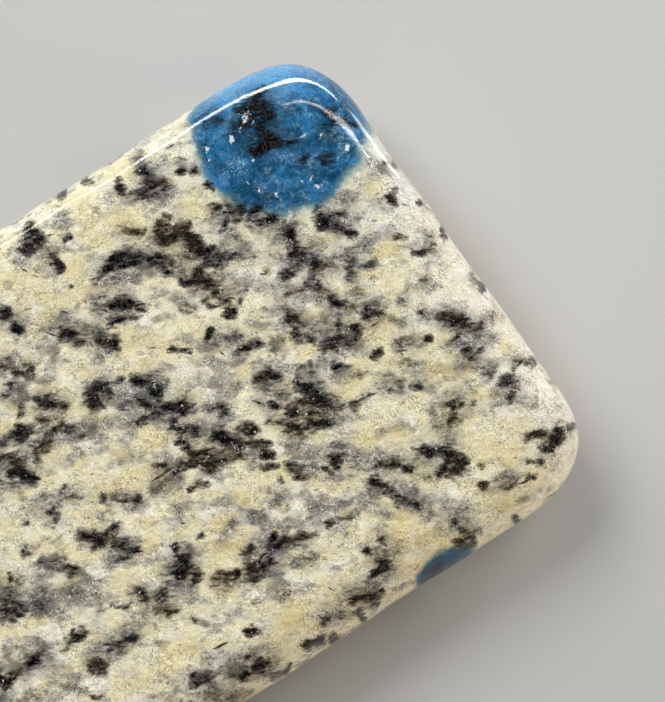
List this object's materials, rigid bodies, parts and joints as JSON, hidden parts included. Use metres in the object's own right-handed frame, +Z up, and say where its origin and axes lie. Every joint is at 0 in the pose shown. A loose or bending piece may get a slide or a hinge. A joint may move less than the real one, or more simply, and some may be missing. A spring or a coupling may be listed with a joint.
{
  "type": "polished granite tablet with azurite",
  "caption": "Flat oblong tablet of polished pale granite with dark mica flecks and round blue azurite stains, its corners and rims rounded, its face and back flat.",
  "frame": {"origin": "under the middle of the tablet's bounding box, on the surface that it rests on", "axes": "+X along the tablet's length, towards the end with the large azurite disc; +Y across it, towards the long side that the disc touches; +Z up, out of the polished face"},
  "size_m": [0.0442, 0.028, 0.0065],
  "materials": {
    "granite": "polished"
  },
  "bodies": {
    "root": {"granite_tablet": "granite"}
  },
  "joints": []
}
